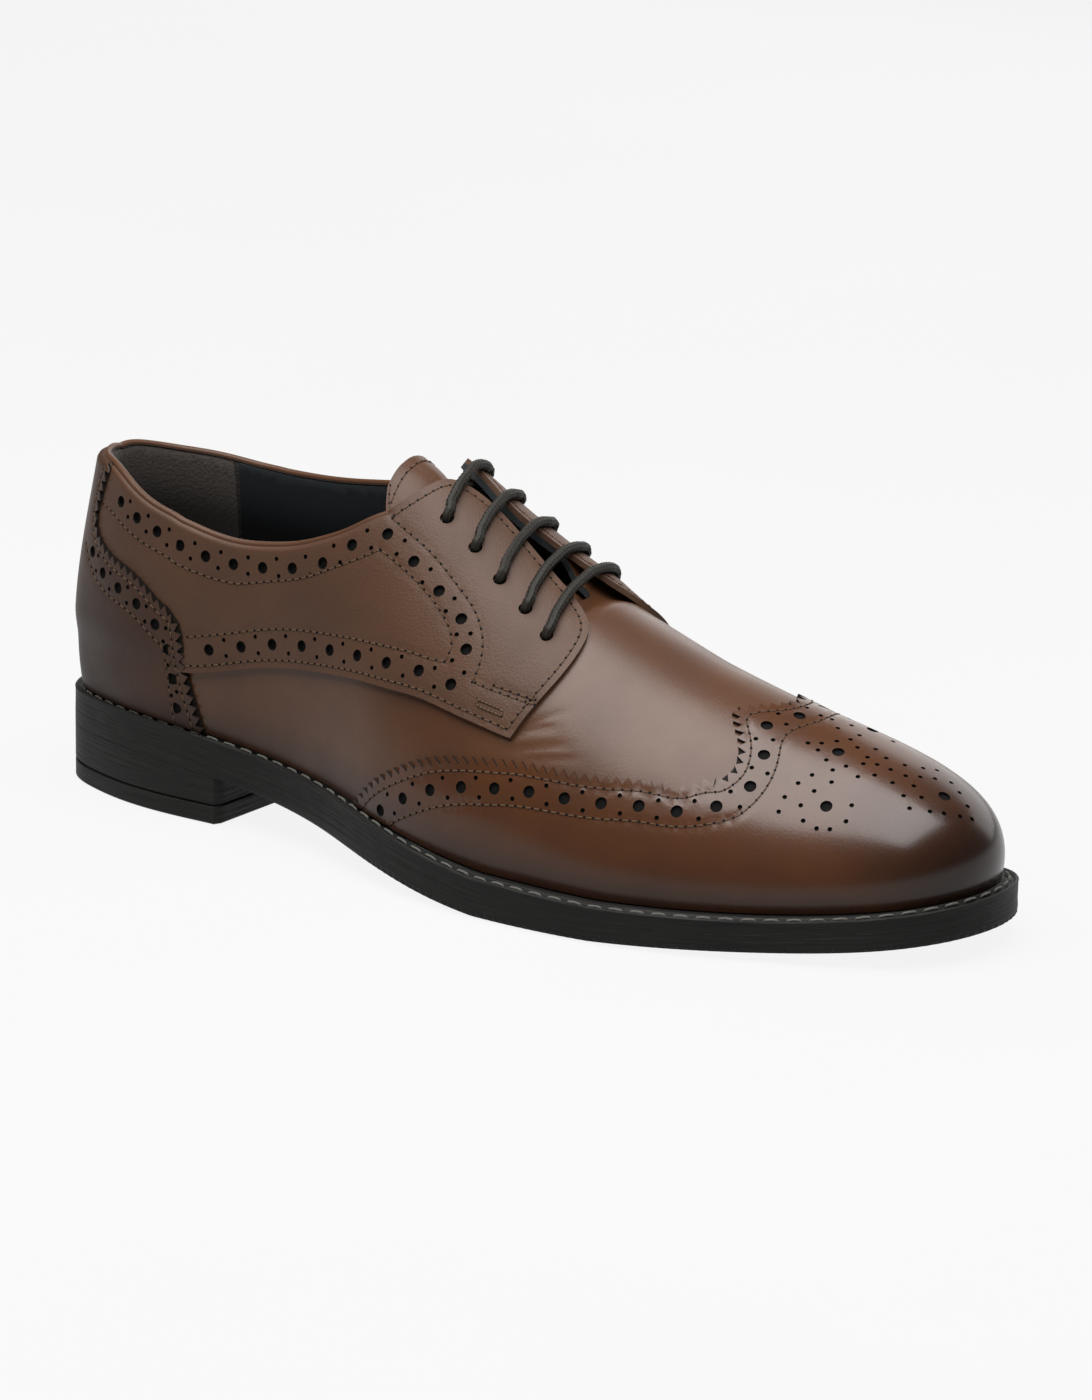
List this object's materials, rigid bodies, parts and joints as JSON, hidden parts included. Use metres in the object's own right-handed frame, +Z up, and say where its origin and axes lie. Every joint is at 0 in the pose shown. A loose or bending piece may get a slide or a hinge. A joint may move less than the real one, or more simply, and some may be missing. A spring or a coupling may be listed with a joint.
{
  "type": "shoe",
  "caption": "Leather wing-tip derby shoe for the right foot, with punched brogue bands, open lacing over a tongue, a stitched welt and a low stacked heel.",
  "frame": {"origin": "centre of the sole's outline, on the ground that the heel and the forefoot stand on", "axes": "+X to the toe, +Y to the inner (medial) side of the right foot, +Z up"},
  "size_m": [0.3072, 0.1046, 0.109],
  "materials": {
    "upper_leather": "smooth polished",
    "quarter_leather_lateral": "smooth polished",
    "quarter_leather_medial": "smooth polished",
    "cap_leather": "burnished",
    "counter_leather": "burnished",
    "tongue_leather": "smooth satin",
    "lace_cord": "waxed round cord",
    "welt_rubber": "satin",
    "insole_leather": "matt lining leather",
    "outsole_rubber": "matt moulded",
    "heel_rubber": "matt moulded",
    "lift_rubber": "matt moulded"
  },
  "bodies": {
    "root": {"upper": "upper_leather", "quarter_lateral": "quarter_leather_lateral", "quarter_medial": "quarter_leather_medial", "wing_cap": "cap_leather", "heel_counter": "counter_leather", "tongue": "tongue_leather", "lace": "lace_cord", "welt": "welt_rubber", "insole": "insole_leather", "outsole": "outsole_rubber", "heel_stack": "heel_rubber", "top_lift": "lift_rubber"}
  },
  "joints": []
}
